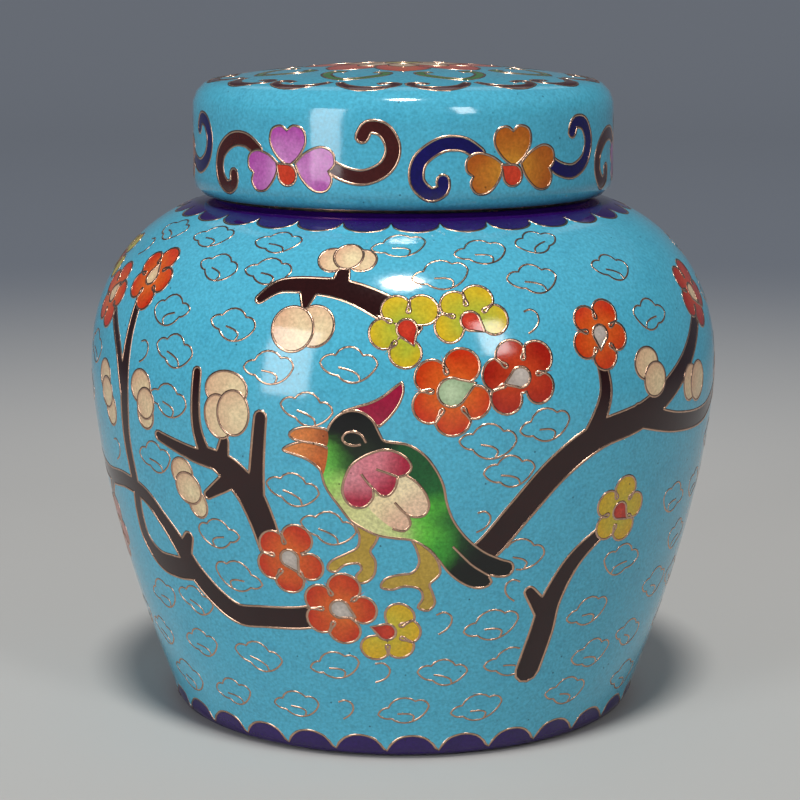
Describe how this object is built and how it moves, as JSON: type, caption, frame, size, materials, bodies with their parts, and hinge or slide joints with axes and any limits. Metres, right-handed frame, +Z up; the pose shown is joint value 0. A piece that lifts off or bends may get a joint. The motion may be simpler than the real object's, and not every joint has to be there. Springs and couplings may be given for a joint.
{
  "type": "cloisonne enamel ginger jar",
  "caption": "Squat enamelled copper ginger jar with a round belly, a ring foot, a short neck and a straight-sided cap lid that lifts off.",
  "frame": {"origin": "centre of the foot ring, on the surface that the jar stands on", "axes": "+Z up along the axis that the jar and the lid are turned about; -Y towards the side with the bird"},
  "size_m": [0.1078, 0.1078, 0.1104],
  "materials": {
    "jar_enamel": "glossy vitreous enamel on copper, turquoise ground with inlaid coloured cells",
    "lid_enamel": "glossy vitreous enamel on copper, turquoise ground with inlaid coloured cells",
    "copper_wire": "fine gilt copper wire ground flush with the enamel and polished"
  },
  "bodies": {
    "root": {"jar_body": "jar_enamel", "lid": "lid_enamel"}
  },
  "joints": []
}
